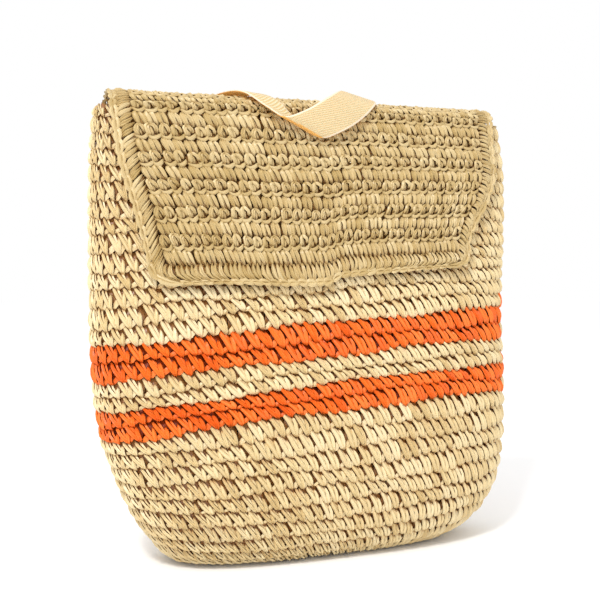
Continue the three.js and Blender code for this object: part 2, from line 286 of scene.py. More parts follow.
# One function turns sRGB hex colours to linear
def colour(hex_code):
    channels = [int(hex_code[i : i + 2], 16) / 255 for i in (0, 2, 4)]
    return [c / 12.92 if c <= 0.04045 else ((c + 0.055) / 1.055) ** 2.4 for c in channels] + [1.0]


# Adds a node, sets its properties, and fills its sockets with values or with other nodes' outputs
def add(tree, kind, inputs=(), **settings):
    node = tree.nodes.new(kind)
    for key, value in settings.items():
        setattr(node, key, value)
    for key, value in dict(inputs).items():
        socket = node.inputs[key]
        if isinstance(value, bpy.types.NodeSocket):
            tree.links.new(value, socket)
        else:
            socket.default_value = value
    return node


def new_mesh_object(name, points, faces, collection=None):
    mesh = bpy.data.meshes.new(name)
    mesh.from_pydata([list(p) for p in points], [], faces)
    piece = bpy.data.objects.new(name, mesh)
    (collection or bpy.context.scene.collection).objects.link(piece)
    return piece


# A UV map from one place for each vertex
def add_uv(mesh, name, places):
    corners = np.array([loop.vertex_index for loop in mesh.loops])
    mesh.uv_layers.new(name=name).data.foreach_set("uv", np.asarray(places)[corners].ravel())


# Straw that reaches the eye as satin ribbons: light top faces, painted warm shade on the strands deep between them,
# fine fibres along them
def straw_material(name, tints, recess_shade, gloss):
    material = bpy.data.materials.new(name)
    material.use_nodes = True
    tree = material.node_tree
    shader = tree.nodes["Principled BSDF"]
    strand = add(tree, "ShaderNodeUVMap", uv_map="strand").outputs["UV"]
    tone = add(tree, "ShaderNodeAttribute", attribute_name="tone").outputs["Fac"]
    sunk = add(tree, "ShaderNodeAttribute", attribute_name="sunk").outputs["Fac"]
    apart = add(tree, "ShaderNodeVectorMath", {0: (7.3, 3.1, 0.0), "Scale": tone}, operation="SCALE").outputs[0]
    place = add(tree, "ShaderNodeVectorMath", {0: strand, 1: apart}, operation="ADD").outputs[0]
    # Paper fibres 0.35 mm apart, running along the strand
    fibres = add(tree, "ShaderNodeMapping", {"Vector": place, "Scale": (2.9, 0.16, 1.0)}).outputs[0]
    streak = add(tree, "ShaderNodeTexNoise", {"Vector": fibres, "Scale": 1.0, "Detail": 3.0}).outputs["Fac"]
    # Crumples of the flattened ribbon, 3 mm long
    creases = add(tree, "ShaderNodeMapping", {"Vector": place, "Scale": (0.55, 0.33, 1.0)}).outputs[0]
    crumple = add(tree, "ShaderNodeTexNoise", {"Vector": creases, "Scale": 1.0, "Detail": 1.0}).outputs["Fac"]
    ramp = add(tree, "ShaderNodeValToRGB", {"Fac": tone})
    stops = ramp.color_ramp.elements
    stops[0].color = colour(tints[0])
    stops[1].color = colour(tints[-1])
    for number, tint in enumerate(tints[1:-1], 1):
        stops.new(number / (len(tints) - 1)).color = colour(tint)
    shade = add(tree, "ShaderNodeMapRange", {"Value": streak, 1: 0.3, 2: 0.7, 3: 0.8, 4: 1.1}).outputs[0]
    coloured = {0: 1.0, 6: ramp.outputs["Color"], 7: shade}
    tinted = add(tree, "ShaderNodeMix", coloured, data_type="RGBA", blend_type="MULTIPLY")
    # Painted shade: strands that lie deep between the others are painted amber, and painted darker brown at the
    # bottom of a hole
    painted_warm_shade = add(tree, "ShaderNodeMix", {0: sunk, 6: tinted.outputs[2], 7: colour(recess_shade)}, data_type="RGBA")
    painted_hole_shade = add(tree, "ShaderNodeMapRange", {"Value": sunk, 1: 0.6, 2: 0.88, 3: 1.0, 4: 0.56}).outputs[0]
    darkened = {0: 1.0, 6: painted_warm_shade.outputs[2], 7: painted_hole_shade}
    with_painted_shade = add(tree, "ShaderNodeMix", darkened, data_type="RGBA", blend_type="MULTIPLY")
    height = add(tree, "ShaderNodeMath", {0: crumple, 1: 3.0, 2: streak}, operation="MULTIPLY_ADD").outputs[0]
    bump = add(tree, "ShaderNodeBump", {"Height": height, "Strength": 0.9, "Distance": 0.16 * MM})
    tree.links.new(with_painted_shade.outputs[2], shader.inputs["Base Color"])
    tree.links.new(bump.outputs[0], shader.inputs["Normal"])
    shader.inputs["Roughness"].default_value = 0.36
    shader.inputs["Specular IOR Level"].default_value = gloss
    return material


# The colour after the tints is the painted shade given to deep strands
paper_straw = straw_material("natural paper straw", ["D6BC87", "DCC492", "E1CC9C", "E7D3A7"], "C47C34", 0.55)
orange_straw = straw_material("dyed orange paper straw", ["E66420", "EE6E26", "F37629", "F77F34"], "A8380E", 0.28)
flap_straw = straw_material("natural paper straw, flap", ["B99E67", "C0A671", "C7AE7B", "CEB786"], "A86A22", 0.5)

# Ribbon with a fold along it, which has a steep face, a broad one and a low one, and ribbon with two folds
RIBBON = [(-1.0, 0.0), (-0.35, 1.0), (0.45, 0.6), (1.0, 0.0), (0.1, -0.8)]
TWICE_FOLDED = [(-1.0, 0.0), (-0.5, 0.95), (0.0, 0.25), (0.5, 0.85), (1.0, 0.0), (0.0, -0.8)]
LOOSE = [(-1.0, 0.0), (0.0, 0.9), (1.0, 0.0), (0.0, -0.8)]


# Points of a smooth path through a few given ones, which never loops where they are close together
def smooth_path(knots, steps):
    knots = np.asarray(knots, float)
    padded = np.vstack([2 * knots[0] - knots[1], knots, 2 * knots[-1] - knots[-2]])
    at = np.linspace(0, len(knots) - 1, steps + 1)
    i = np.minimum(at.astype(int), len(knots) - 2)
    t = (at - i)[:, None]
    a, b, c, d = (padded[i + k] for k in range(4))
    pairs = ((a, b), (b, c), (c, d))
    before, between, after = (np.linalg.norm(q - p, axis=1, keepdims=True) ** 0.5 for p, q in pairs)
    start = ((b - a) / before - (c - a) / (before + between) + (c - b) / between) * between
    end = ((c - b) / between - (d - b) / (between + after) + (d - c) / after) * between
    rest = (t**3 - 2 * t**2 + t) * start + (t**3 - t**2) * end
    return (2 * t**3 - 3 * t**2 + 1) * b + (3 * t**2 - 2 * t**3) * c + rest


# A flattened strand along a path, as wide at each knot as its widths say, with its own UV in millimetres:
# across the strand and along it
def strand(knots, widths, thickness, steps, section=RIBBON, roll=0.0):
    path = smooth_path(knots, steps)
    spaced = np.linspace(0, 1, len(widths))
    width = np.interp(np.linspace(0, 1, steps + 1), spaced, widths)
    heading = unit(np.gradient(path, axis=0))
    side = unit(np.cross(heading, [0.0, 0.0, 1.0]))
    up = np.cross(side, heading)
    turned = math.radians(roll)
    side, up = side * math.cos(turned) + up * math.sin(turned), up * math.cos(turned) - side * math.sin(turned)
    points, uvs = [], []
    travelled = np.concatenate([[0], np.cumsum(np.linalg.norm(np.diff(path, axis=0), axis=1))])
    for k in range(steps + 1):
        for across, proud in section:
            points.append(path[k] + side[k] * across * width[k] / 2 + up[k] * proud * thickness / 2)
            uvs.append((across * width[k] / 2, travelled[k]))
    n = len(section)
    faces = []
    for k in range(steps):
        for j in range(n):
            a, b = k * n + j, k * n + (j + 1) % n
            faces.append((a, a + n, b + n, b))
    faces.append(tuple(range(n)))
    faces.append(tuple(steps * n + j for j in reversed(range(n))))
    creased = {(k * n + j, (k + 1) * n + j) for k in range(steps) for j in range(n)}
    return points, faces, uvs, creased


# One stitch as a mesh of strands in cell space: one unit is one stitch, heights are in metres
def stitch(name, strands, size, collection):
    points, faces, uvs, creased = [], [], [], set()
    for more_points, more_faces, more_uvs, more_creased in strands:
        first = len(points)
        points += more_points
        uvs += more_uvs
        faces += [tuple(first + k for k in face) for face in more_faces]
        creased |= {(first + a, first + b) for a, b in more_creased}
    scale = np.array([1 / size[0], 1 / size[1], MM])
    piece = new_mesh_object(name, np.array(points) * scale, faces, collection)
    mesh = piece.data
    add_uv(mesh, "strand", uvs)
    mesh.shade_smooth()
    sharp = mesh.attributes.new("sharp_edge", "BOOLEAN", "EDGE")
    for edge in mesh.edges:
        a, b = edge.vertices
        sharp.data[edge.index].value = (a, b) in creased or (b, a) in creased
    return piece


def shaken(rng, knots, amount):
    return np.asarray(knots, float) + rng.normal(0, amount, (len(knots), 3)) * [1, 1, 0.5]


# Stitch of the shell: a long left leg and a shorter right one that meet in a pointed foot, a recessed strand
# between them, a tail that leads off under the foot, and the hidden back. The first kinds are open, the last tight.
# The row is rolled, so that it stands proud in its middle and dips where it meets its neighbours.
def shell_stitches(collection, count):
    rng = np.random.default_rng(7)
    open_left = [(0.3, 12.4, -1.8), (1.2, 9.6, 0.4), (2.8, 5.6, 1.4), (4.3, 2.0, 1.2), (5.0, 0.0, -0.8)]
    tight_left = [(0.9, 12.6, -1.8), (1.5, 9.6, 0.5), (2.5, 5.6, 1.4), (3.8, 2.0, 1.2), (4.8, 0.0, -0.8)]
    open_right = [(7.6, 8.0, -1.9), (7.5, 6.6, 0.1), (6.9, 4.2, 1.2), (6.0, 1.6, 0.9), (5.2, -0.1, -1.0)]
    tight_right = [(6.0, 9.4, -1.8), (6.5, 7.9, 0.2), (6.9, 5.2, 1.2), (6.3, 2.2, 1.1), (5.3, -0.1, -0.9)]
    open_widths, tight_widths = np.array([2.2, 2.8, 3.1, 3.2, 2.3]), np.array([2.6, 3.3, 3.5, 3.4, 2.3])
    for number in range(count):
        tight = number / (count - 1)
        fold = RIBBON if number % 2 else TWICE_FOLDED
        left = lerp(np.array(open_left), np.array(tight_left), tight)
        right = lerp(np.array(open_right), np.array(tight_right), tight)
        inner = [(3.2, 12.4, -1.9), (4.2, 8.8, -0.2), (5.0, 5.0, 0.2), (5.4, 1.8, -0.8)]
        tail = [(3.6, 4.2, -1.0), (1.3, 2.6, 0.0), (-1.0, 1.3, -0.1), (-3.2, 0.2, -1.5)]
        # The post stands for the stitch's back and is as wide as the stitch, so it fills the holes; it lies deep and
        # takes the painted dark shade of the bag's inside
        post = [(8.6, 12.5, -3.0), (5.0, 6.0, -2.8), (1.2, -0.5, -3.0)]
        widths = lerp(open_widths, tight_widths, tight) * rng.uniform(0.93, 1.08)
        strands = [
            strand(shaken(rng, left, 0.22), widths, 2.2, 5, fold, roll=rng.uniform(-14, 2)),
            strand(
                shaken(rng, right, 0.22), widths * [0.7, 0.9, 0.97, 0.97, 0.95], 2.1, 5, fold,
                roll=rng.uniform(-6, 14),
            ),
            strand(shaken(rng, inner, 0.25), [2.0, 2.6, 2.5, 1.8], 1.6, 3, LOOSE, roll=rng.uniform(-20, 20)),
            strand(shaken(rng, tail, 0.2), [2.2, 3.0, 2.8, 1.4], 1.5, 3, LOOSE, roll=rng.uniform(-20, 20)),
            strand(shaken(rng, post, 0.2), [8.6, 9.4, 8.6], 1.0, 2, LOOSE),
        ]
        stitch(f"shell_stitch_{number}", strands, SHELL_STITCH, collection)


# Row of the flap that shows leaf shapes: two ribbons that part below a pointed head
def leaf_stitches(collection, count):
    rng = np.random.default_rng(11)
    for number in range(count):
        left = [(3.3, 10.8, -1.3), (2.2, 8.6, 0.6), (1.7, 4.6, 1.2), (2.4, -0.2, -1.0)]
        right = [(3.9, 10.6, -1.5), (5.5, 8.6, 0.6), (6.3, 4.8, 1.0), (6.1, -0.4, -1.1)]
        inner = [(4.3, 7.6, -0.6), (4.5, 4.0, -1.0), (4.7, -0.8, -2.0)]
        # The post stands for the stitch's back and fills the holes; it lies deep and takes the painted dark shade
        post = [(4.0, 10.6, -2.3), (4.0, -0.6, -2.3)]
        widths = np.array([2.0, 3.9, 4.1, 1.8]) * rng.uniform(0.94, 1.08)
        fold = RIBBON if number % 2 else TWICE_FOLDED
        strands = [
            strand(shaken(rng, left, 0.3), widths, 2.3, 5, fold, roll=rng.uniform(-22, 4)),
            strand(shaken(rng, right, 0.3), widths, 2.3, 5, fold, roll=rng.uniform(-4, 22)),
            strand(shaken(rng, inner, 0.3), [2.2, 2.6, 2.2], 1.1, 3, LOOSE, roll=rng.uniform(-25, 25)),
            strand(post, [10.4, 10.4], 0.8, 1, LOOSE),
        ]
        stitch(f"leaf_stitch_{number}", strands, FLAP_STITCH, collection)


# Row of the flap worked from behind: two petals that arch over a strand, which sags like a smile and leaves a hole
# beside it
def smile_stitches(collection, count):
    rng = np.random.default_rng(13)
    for number in range(count):
        left = [(1.5, 2.4, -1.0), (1.4, 5.4, 0.7), (2.2, 8.4, 1.3), (4.3, 10.5, -0.3)]
        right = [(3.6, 10.5, -0.7), (5.4, 9.2, 1.1), (6.5, 7.2, 0.9), (6.2, 5.2, -1.0)]
        inner = [(3.9, 9.4, -0.3), (3.8, 6.2, -0.1), (3.3, 2.8, -0.9)]
        smile = [(-1.1, 3.6, -1.5), (0.7, 1.7, 0.5), (2.7, 0.4, 1.3), (5.5, 1.3, 1.4), (8.5, 4.2, 0.0)]
        # The post stands for the stitch's back and fills the holes; it lies deep and takes the painted dark shade
        post = [(4.0, 10.6, -2.3), (4.0, -0.6, -2.3)]
        wide = rng.uniform(0.92, 1.1)
        left_widths, right_widths = np.array([2.2, 3.4, 3.4, 1.7]) * wide, np.array([1.7, 3.3, 3.4, 2.0]) * wide
        smile_widths = np.array([1.2, 2.3, 2.7, 2.3, 1.4]) * wide
        fold = TWICE_FOLDED if number % 2 else RIBBON
        strands = [
            strand(shaken(rng, left, 0.3), left_widths, 2.3, 5, fold, roll=rng.uniform(-24, 2)),
            strand(shaken(rng, right, 0.3), right_widths, 2.3, 5, fold, roll=rng.uniform(-2, 24)),
            strand(shaken(rng, inner, 0.3), [1.8, 2.2, 1.8], 1.3, 3, LOOSE, roll=rng.uniform(-25, 25)),
            strand(shaken(rng, smile, 0.3), smile_widths, 2.1, 5, roll=rng.uniform(-14, 14)),
            strand(post, [10.4, 10.4], 0.8, 1, LOOSE),
        ]
        stitch(f"smile_stitch_{number}", strands, FLAP_STITCH, collection)


# Slip-stitch chain: one link after the next, each a pair of strands that cross at its ends
def chain_stitches(collection, count):
    rng = np.random.default_rng(17)
    for number in range(count):
        upper = [(-1.4, 0.8, -0.9), (1.6, 2.4, 0.5), (4.8, 3.5, 0.9), (7.6, 2.6, 0.5), (9.4, 1.0, -0.8)]
        lower = [(-0.8, 2.2, -1.0), (2.0, 0.9, 0.1), (4.8, -0.2, 0.4), (8.2, 0.6, 0.1), (9.8, 2.0, -0.7)]
        widths = np.array([1.9, 3.2, 3.8, 3.2, 1.8]) * rng.uniform(0.92, 1.08)
        strands = [
            strand(shaken(rng, upper, 0.2), widths, 2.2, 5, roll=rng.uniform(-20, 0)),
            strand(shaken(rng, lower, 0.2), widths, 2.0, 5, roll=rng.uniform(0, 20)),
        ]
        stitch(f"chain_stitch_{number}", strands, CHAIN_STITCH, collection)


# A surface to crochet on: a grid of places whose UV says which stitch column and row lies there
def ground(name, place, columns, rows, lean, tight):
    across, up = np.meshgrid(columns, rows)
    points = place(across.ravel(), up.ravel()) * MM
    width = len(columns)
    faces = [
        (k + j * width, k + 1 + j * width, k + 1 + (j + 1) * width, k + (j + 1) * width)
        for j in range(len(rows) - 1)
        for k in range(width - 1)
    ]
    piece = new_mesh_object(name, points, faces)
    mesh = piece.data
    mesh.shade_smooth()
    cells = np.stack([across.ravel(), up.ravel()], axis=1)
    add_uv(mesh, "cell", (cells + CELL_SHIFT) / CELL_SPAN)
    for title, amount in (("lean", lean), ("tight", tight)):
        layer = mesh.attributes.new(title, "FLOAT", "POINT")
        layer.data.foreach_set("value", amount(across.ravel(), up.ravel()))
    return piece


def steady(value):
    return lambda column, row: np.full_like(column, value)


# The crochet itself: stitches set out by column and row, joined, then bent over the ground that they are worked on
def crochet_tree():
    tree = bpy.data.node_groups.new("crochet", "GeometryNodeTree")
    tree.is_modifier = True
    face = tree.interface
    face.new_socket("Geometry", in_out="OUTPUT", socket_type="NodeSocketGeometry")
    for name, kind in [
        ("Ground", "Geometry"),
        ("Stitches", "Collection"),
        ("Kinds", "Int"),
        ("Mixing", "Float"),
        ("Count", "Int"),
        ("First Stitch", "Int"),
        ("Stride", "Float"),
        ("Columns", "Int"),
        ("First Row", "Int"),
        ("Row Step", "Int"),
        ("Unevenness", "Float"),
        ("Sink", "Float"),
        ("Seed", "Int"),
        ("Finish", "Material"),
    ]:
        face.new_socket(name, in_out="INPUT", socket_type=f"NodeSocket{kind}")
    given = tree.nodes.new("NodeGroupInput").outputs

    def on_ground(kind, field, cell):
        uv = add(tree, "ShaderNodeVectorMath", {0: cell, 1: (CELL_SHIFT, CELL_SHIFT, 0)}, operation="ADD").outputs[0]
        uv = add(tree, "ShaderNodeVectorMath", {0: uv, "Scale": 1 / CELL_SPAN}, operation="SCALE").outputs[0]
        own = add(tree, "GeometryNodeInputNamedAttribute", {"Name": "cell"}, data_type="FLOAT_VECTOR").outputs[0]
        inputs = {"Mesh": given["Ground"], "Value": field, "Source UV Map": own, "Sample UV": uv}
        return add(tree, "GeometryNodeSampleUVSurface", inputs, data_type=kind).outputs["Value"]

    # Each stitch's column and row, counted along the work
    number = add(tree, "GeometryNodeInputIndex").outputs[0]
    index = add(tree, "ShaderNodeMath", {0: number, 1: given["First Stitch"]}, operation="ADD").outputs[0]
    travelled = add(tree, "ShaderNodeMath", {0: index, 1: given["Stride"]}, operation="MULTIPLY").outputs[0]
    nudged = add(tree, "ShaderNodeMath", {0: travelled, 1: 0.001}, operation="ADD").outputs[0]
    rows = add(tree, "ShaderNodeMath", {0: nudged, 1: given["Columns"]}, operation="DIVIDE").outputs[0]
    order = add(tree, "ShaderNodeMath", {0: rows}, operation="FLOOR").outputs[0]
    done = add(tree, "ShaderNodeMath", {0: order, 1: given["Columns"]}, operation="MULTIPLY").outputs[0]
    column = add(tree, "ShaderNodeMath", {0: travelled, 1: done}, operation="SUBTRACT").outputs[0]
    stepped = {0: order, 1: given["Row Step"], 2: given["First Row"]}
    row = add(tree, "ShaderNodeMath", stepped, operation="MULTIPLY_ADD").outputs[0]
    cell = add(tree, "ShaderNodeCombineXYZ", {0: column, 1: row}).outputs[0]
    lean = add(tree, "GeometryNodeInputNamedAttribute", {"Name": "lean"}, data_type="FLOAT").outputs[0]
    tightness = add(tree, "GeometryNodeInputNamedAttribute", {"Name": "tight"}, data_type="FLOAT").outputs[0]
    lean_here = on_ground("FLOAT", lean, cell)
    # One seed for each thing that varies
    seeds = []
    for step in range(1, 6):
        seeds.append(add(tree, "ShaderNodeMath", {0: given["Seed"], 1: step}, operation="ADD").outputs[0])
    vary = "FunctionNodeRandomValue"
    tone = add(tree, vary, {2: 0.0, 3: 1.0, "Seed": seeds[0]}, data_type="FLOAT").outputs[1]
    shifts = {0: (-0.5, -0.35, -0.0006), 1: (0.5, 0.35, 0.0006), "Seed": seeds[1]}
    loose = add(tree, vary, shifts, data_type="FLOAT_VECTOR").outputs[0]
    sizes = {0: (0.93, 0.94, 0.9), 1: (1.09, 1.07, 1.15), "Seed": seeds[2]}
    size = add(tree, vary, sizes, data_type="FLOAT_VECTOR").outputs[0]
    turns = {0: (0.0, 0.0, -0.55), 1: (0.0, 0.0, 0.55), "Seed": seeds[4]}
    askew = add(tree, vary, turns, data_type="FLOAT_VECTOR").outputs[0]
    points = add(tree, "GeometryNodePoints", {"Count": given["Count"], "Position": cell}).outputs[0]
    for title, value in (("row", row), ("lean", lean_here), ("tone", tone)):
        inputs = {"Geometry": points, "Name": title, "Value": value}
        points = add(tree, "GeometryNodeStoreNamedAttribute", inputs, data_type="FLOAT", domain="POINT").outputs[0]
    uneven = given["Unevenness"]
    offset = add(tree, "ShaderNodeVectorMath", {0: loose, "Scale": uneven}, operation="SCALE").outputs[0]
    points = add(tree, "GeometryNodeSetPosition", {"Geometry": points, "Offset": offset}).outputs[0]
    kinds = add(
        tree,
        "GeometryNodeCollectionInfo",
        {"Collection": given["Stitches"], "Separate Children": True, "Reset Children": True},
    ).outputs[0]
    # Kinds run from open to tight, and the ground says how tight the stitches are there
    last_kind = add(tree, "ShaderNodeMath", {0: given["Kinds"], 1: 1.0}, operation="SUBTRACT").outputs[0]
    tight = on_ground("FLOAT", tightness, cell)
    least = add(tree, "ShaderNodeMath", {0: given["Mixing"], 1: -1.0}, operation="MULTIPLY").outputs[0]
    chance = add(tree, vary, {2: least, 3: given["Mixing"], "Seed": seeds[3]}, data_type="FLOAT").outputs[1]
    middle = add(tree, "ShaderNodeMath", {0: chance, 1: 0.5}, operation="ADD").outputs[0]
    wanted = add(tree, "ShaderNodeMath", {0: tight, 1: last_kind, 2: middle}, operation="MULTIPLY_ADD").outputs[0]
    whole = add(tree, "ShaderNodeMath", {0: wanted}, operation="FLOOR").outputs[0]
    at_least = add(tree, "ShaderNodeMath", {0: whole, 1: 0.0}, operation="MAXIMUM").outputs[0]
    kind = add(tree, "ShaderNodeMath", {0: at_least, 1: last_kind}, operation="MINIMUM").outputs[0]
    turned = add(tree, "ShaderNodeVectorMath", {0: askew, "Scale": uneven}, operation="SCALE").outputs[0]
    spread = add(
        tree,
        "GeometryNodeInstanceOnPoints",
        {
            "Points": points,
            "Instance": kinds,
            "Pick Instance": True,
            "Instance Index": kind,
            "Rotation": turned,
            "Scale": size,
        },
    ).outputs[0]
    joined = add(tree, "GeometryNodeRealizeInstances", {"Geometry": spread}).outputs[0]
    # How deep each strand lies in the stitch is stored, for the shade that the colour paints on deep strands
    place = add(tree, "ShaderNodeSeparateXYZ", {0: add(tree, "GeometryNodeInputPosition").outputs[0]}).outputs
    depths = {"Value": place[2], 1: 0.3 * MM, 2: -2.4 * MM, 3: 0.0, 4: 0.9}
    sunk = add(tree, "ShaderNodeMapRange", depths).outputs[0]
    inputs = {"Geometry": joined, "Name": "sunk", "Value": sunk}
    joined = add(tree, "GeometryNodeStoreNamedAttribute", inputs, data_type="FLOAT", domain="POINT").outputs[0]
    # The stitches lean, and then follow the ground
    own_row = add(tree, "GeometryNodeInputNamedAttribute", {"Name": "row"}, data_type="FLOAT").outputs[0]
    own_lean = add(tree, "GeometryNodeInputNamedAttribute", {"Name": "lean"}, data_type="FLOAT").outputs[0]
    height_in_row = add(tree, "ShaderNodeMath", {0: place[1], 1: own_row}, operation="SUBTRACT").outputs[0]
    below_head = add(tree, "ShaderNodeMath", {0: 0.5, 1: height_in_row}, operation="SUBTRACT").outputs[0]
    shear = {0: own_lean, 1: below_head, 2: place[0]}
    sheared = add(tree, "ShaderNodeMath", shear, operation="MULTIPLY_ADD").outputs[0]
    bent_cell = add(tree, "ShaderNodeCombineXYZ", {0: sheared, 1: place[1]}).outputs[0]
    spot = on_ground("FLOAT_VECTOR", add(tree, "GeometryNodeInputPosition").outputs[0], bent_cell)
    outward = on_ground("FLOAT_VECTOR", add(tree, "GeometryNodeInputNormal").outputs[0], bent_cell)
    depth = add(tree, "ShaderNodeMath", {0: place[2], 1: given["Sink"]}, operation="SUBTRACT").outputs[0]
    lifted = add(tree, "ShaderNodeVectorMath", {0: outward, "Scale": depth}, operation="SCALE").outputs[0]
    final = add(tree, "ShaderNodeVectorMath", {0: spot, 1: lifted}, operation="ADD").outputs[0]
    # The base's stitches stay above the floor
    ends = add(tree, "ShaderNodeSeparateXYZ", {0: final}).outputs
    above = add(tree, "ShaderNodeMath", {0: ends[2], 1: FLOOR_CLEARANCE}, operation="MAXIMUM").outputs[0]
    rested = add(tree, "ShaderNodeCombineXYZ", {0: ends[0], 1: ends[1], 2: above}).outputs[0]
    bent = add(tree, "GeometryNodeSetPosition", {"Geometry": joined, "Position": rested}).outputs[0]
    finished = add(tree, "GeometryNodeSetMaterial", {"Geometry": bent, "Material": given["Finish"]}).outputs[0]
    add(tree, "NodeGroupOutput", {0: finished})
    return tree


def stitch_collection(name, make, count):
    collection = bpy.data.collections.new(name)
    make(collection, count)
    return collection


KINDS = 8
shell_kinds = stitch_collection("shell stitches", shell_stitches, KINDS)
leaf_kinds = stitch_collection("leaf stitches", leaf_stitches, KINDS)
smile_kinds = stitch_collection("smile stitches", smile_stitches, KINDS)
chain_kinds = stitch_collection("chain stitches", chain_stitches, KINDS)
crochet = crochet_tree()


# One piece of crochet on a ground, as a plain mesh that stands for some of the solids
def crocheted(name, field, kinds, finish, sizes, nodes):
    maker = field.copy()
    bpy.context.scene.collection.objects.link(maker)
    modifier = maker.modifiers.new("crochet", "NODES")
    modifier.node_group = crochet
    values = {
        "Stitches": kinds, "Kinds": KINDS, "Mixing": KINDS / 2, "Finish": finish,
        "First Stitch": 0, "Stride": 1.0, "Row Step": 1, "Unevenness": 0.15, **sizes,
    }
    for item in crochet.interface.items_tree:
        if item.in_out == "INPUT" and item.name in values:
            modifier[item.identifier] = values[item.name]
    graph = bpy.context.evaluated_depsgraph_get()
    graph.update()
    made = maker.evaluated_get(graph)
    mesh = bpy.data.meshes.new_from_object(made, preserve_all_data_layers=True, depsgraph=graph)
    bpy.data.objects.remove(maker)
    mesh.name = name
    piece = bpy.data.objects.new(name, mesh)
    bpy.context.scene.collection.objects.link(piece)
    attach(piece, "root")
    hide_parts(*nodes)
    return piece


# Angle of each share of a turn from the seam. Stitches are a little wider towards the left side.
def spaced_angles():
    angles = SEAM_ANGLE + np.linspace(0, 2 * np.pi, 1441)
    ring = wall_point(angles, np.full_like(angles, LEVEL_OF_STRIPES))
    steps = np.linalg.norm(np.diff(ring, axis=0), axis=1)
    width = 1 + WIDER_AT_LEFT * np.cos((angles[1:] + angles[:-1]) / 2 - math.radians(190))
    share = np.concatenate([[0], np.cumsum(steps / width)])
    return angles, share / share[-1]


RING_ANGLES, RING_SHARES = spaced_angles()


# Place on the shell of a stitch column and row. The rows climb by one round on their way around, the topmost
# tapers out so that the rim is level, and below the wall they run inward over the base.
def shell_place(columns):
    def place(column, row):
        turns = column / columns
        whole = np.floor(turns)
        angle = np.interp(turns - whole, RING_SHARES, RING_ANGLES) + 2 * np.pi * whole
        climb = 1 - (angle - SEAM_ANGLE) / (2 * np.pi)
        drift = 0.09 * np.sin(column * 0.31 + row * 1.9) + 0.05 * np.sin(column * 0.83 - row * 2.3)
        level = row + climb + drift * np.clip(row / 2, 0, 1) * np.clip((ROUNDS - 2 - row) / 3, 0, 1)
        top = ROUNDS - 1 + climb
        left_over = np.clip(1 - climb, 0, 1)
        level = np.where(level > top, top + (level - top) * left_over, level)
        point = wall_point(angle, np.clip(level, 0, ROUNDS))
        point[..., 2] += np.maximum(level - ROUNDS, 0) * RIM_PITCH
        inward = np.clip(-level / BASE_ROUNDS, 0, 1)[..., None]
        middle = point * [1, 0, 0]
        half_length = (0.62 * BAG_WIDTH - 0.58 * BAG_DEPTH) / 2
        middle[..., 0] = np.clip(middle[..., 0], -half_length, half_length)
        return lerp(point, middle, inward)

    return place


# How far a stitch's foot is shifted sideways from its head, in stitches: little at the left, most in the middle
def shell_lean(column, row):
    angle = np.interp((column / COLUMNS) % 1, RING_SHARES, RING_ANGLES)
    return 0.38 + 0.16 * np.cos(angle - math.radians(-50))


# The left side is stretched, so that its stitches are open. The middle and the right are tight.
def shell_tightness(column, row):
    angle = np.interp((column / COLUMNS) % 1, RING_SHARES, RING_ANGLES)
    return np.clip(-0.1 + 1.25 * np.cos(angle - math.radians(-55)), 0, 1)


quarter = np.arange(-12, 4 * COLUMNS + 13) / 4
shell_ground = ground(
    "shell_ground", shell_place(COLUMNS), quarter, np.arange(-8, 129) / 4, shell_lean, shell_tightness
)
base_ground = ground(
    "base_ground",
    shell_place(BASE_COLUMNS),
    np.arange(-12, 4 * BASE_COLUMNS + 13) / 4,
    np.arange(-20, 3) / 4,
    steady(0.2),
    steady(0.8),
)


# Rounds of the shell. The stitches follow each other down the spiral, a little less than a whole number of them to
# a turn, so that each foot lands beside the open corner of the stitch below it.
def shell_rows(name, first, count, finish, node):
    stride = COLUMNS / STITCHES_A_TURN
    start = (ROUNDS - first - count) * COLUMNS
    first_stitch = math.ceil(start / stride)
    last_stitch = math.ceil((start + count * COLUMNS) / stride)
    sizes = {
        "Columns": COLUMNS, "Count": last_stitch - first_stitch, "First Stitch": first_stitch, "Stride": stride,
        "First Row": ROUNDS - 1, "Row Step": -1, "Mixing": 1.6, "Sink": SHELL_SINK * MM, "Seed": 10 + first,
    }
    return crocheted(name, shell_ground, shell_kinds, finish, sizes, [node])


crocheted(
    "base_rounds",
    base_ground,
    shell_kinds,
    paper_straw,
    {"Columns": BASE_COLUMNS, "Count": 2 * BASE_COLUMNS, "First Row": -3, "Sink": SHELL_SINK * MM, "Seed": 5},
    ["body_lower"],
)
shell_rows("wall_foot", -1, 6, paper_straw, "body_lower")
shell_rows("wall_lower", 5, 5, paper_straw, "body_lower")
shell_rows("lower_stripe", STRIPE_LOWER_START, 2, orange_straw, "stripe_lower")
shell_rows("wall_middle", STRIPE_LOWER_END, 2, paper_straw, "band_middle")
shell_rows("upper_stripe", STRIPE_UPPER_START, 2, orange_straw, "stripe_upper")
shell_rows("wall_upper", STRIPE_UPPER_END, 7, paper_straw, "body_upper")
shell_rows("wall_rim", STRIPE_UPPER_END + 7, 7, paper_straw, "body_upper")


# Place on the flap of a column and a row counted up from the lower border
def flap_place(column, row):
    across = lerp(BORDER_ACROSS, 1 - BORDER_ACROSS, column / FLAP_COLUMNS)
    along = (1 - BORDER_ALONG) * (1 - row / FLAP_ROWS)
    return extended_flap(across, along)


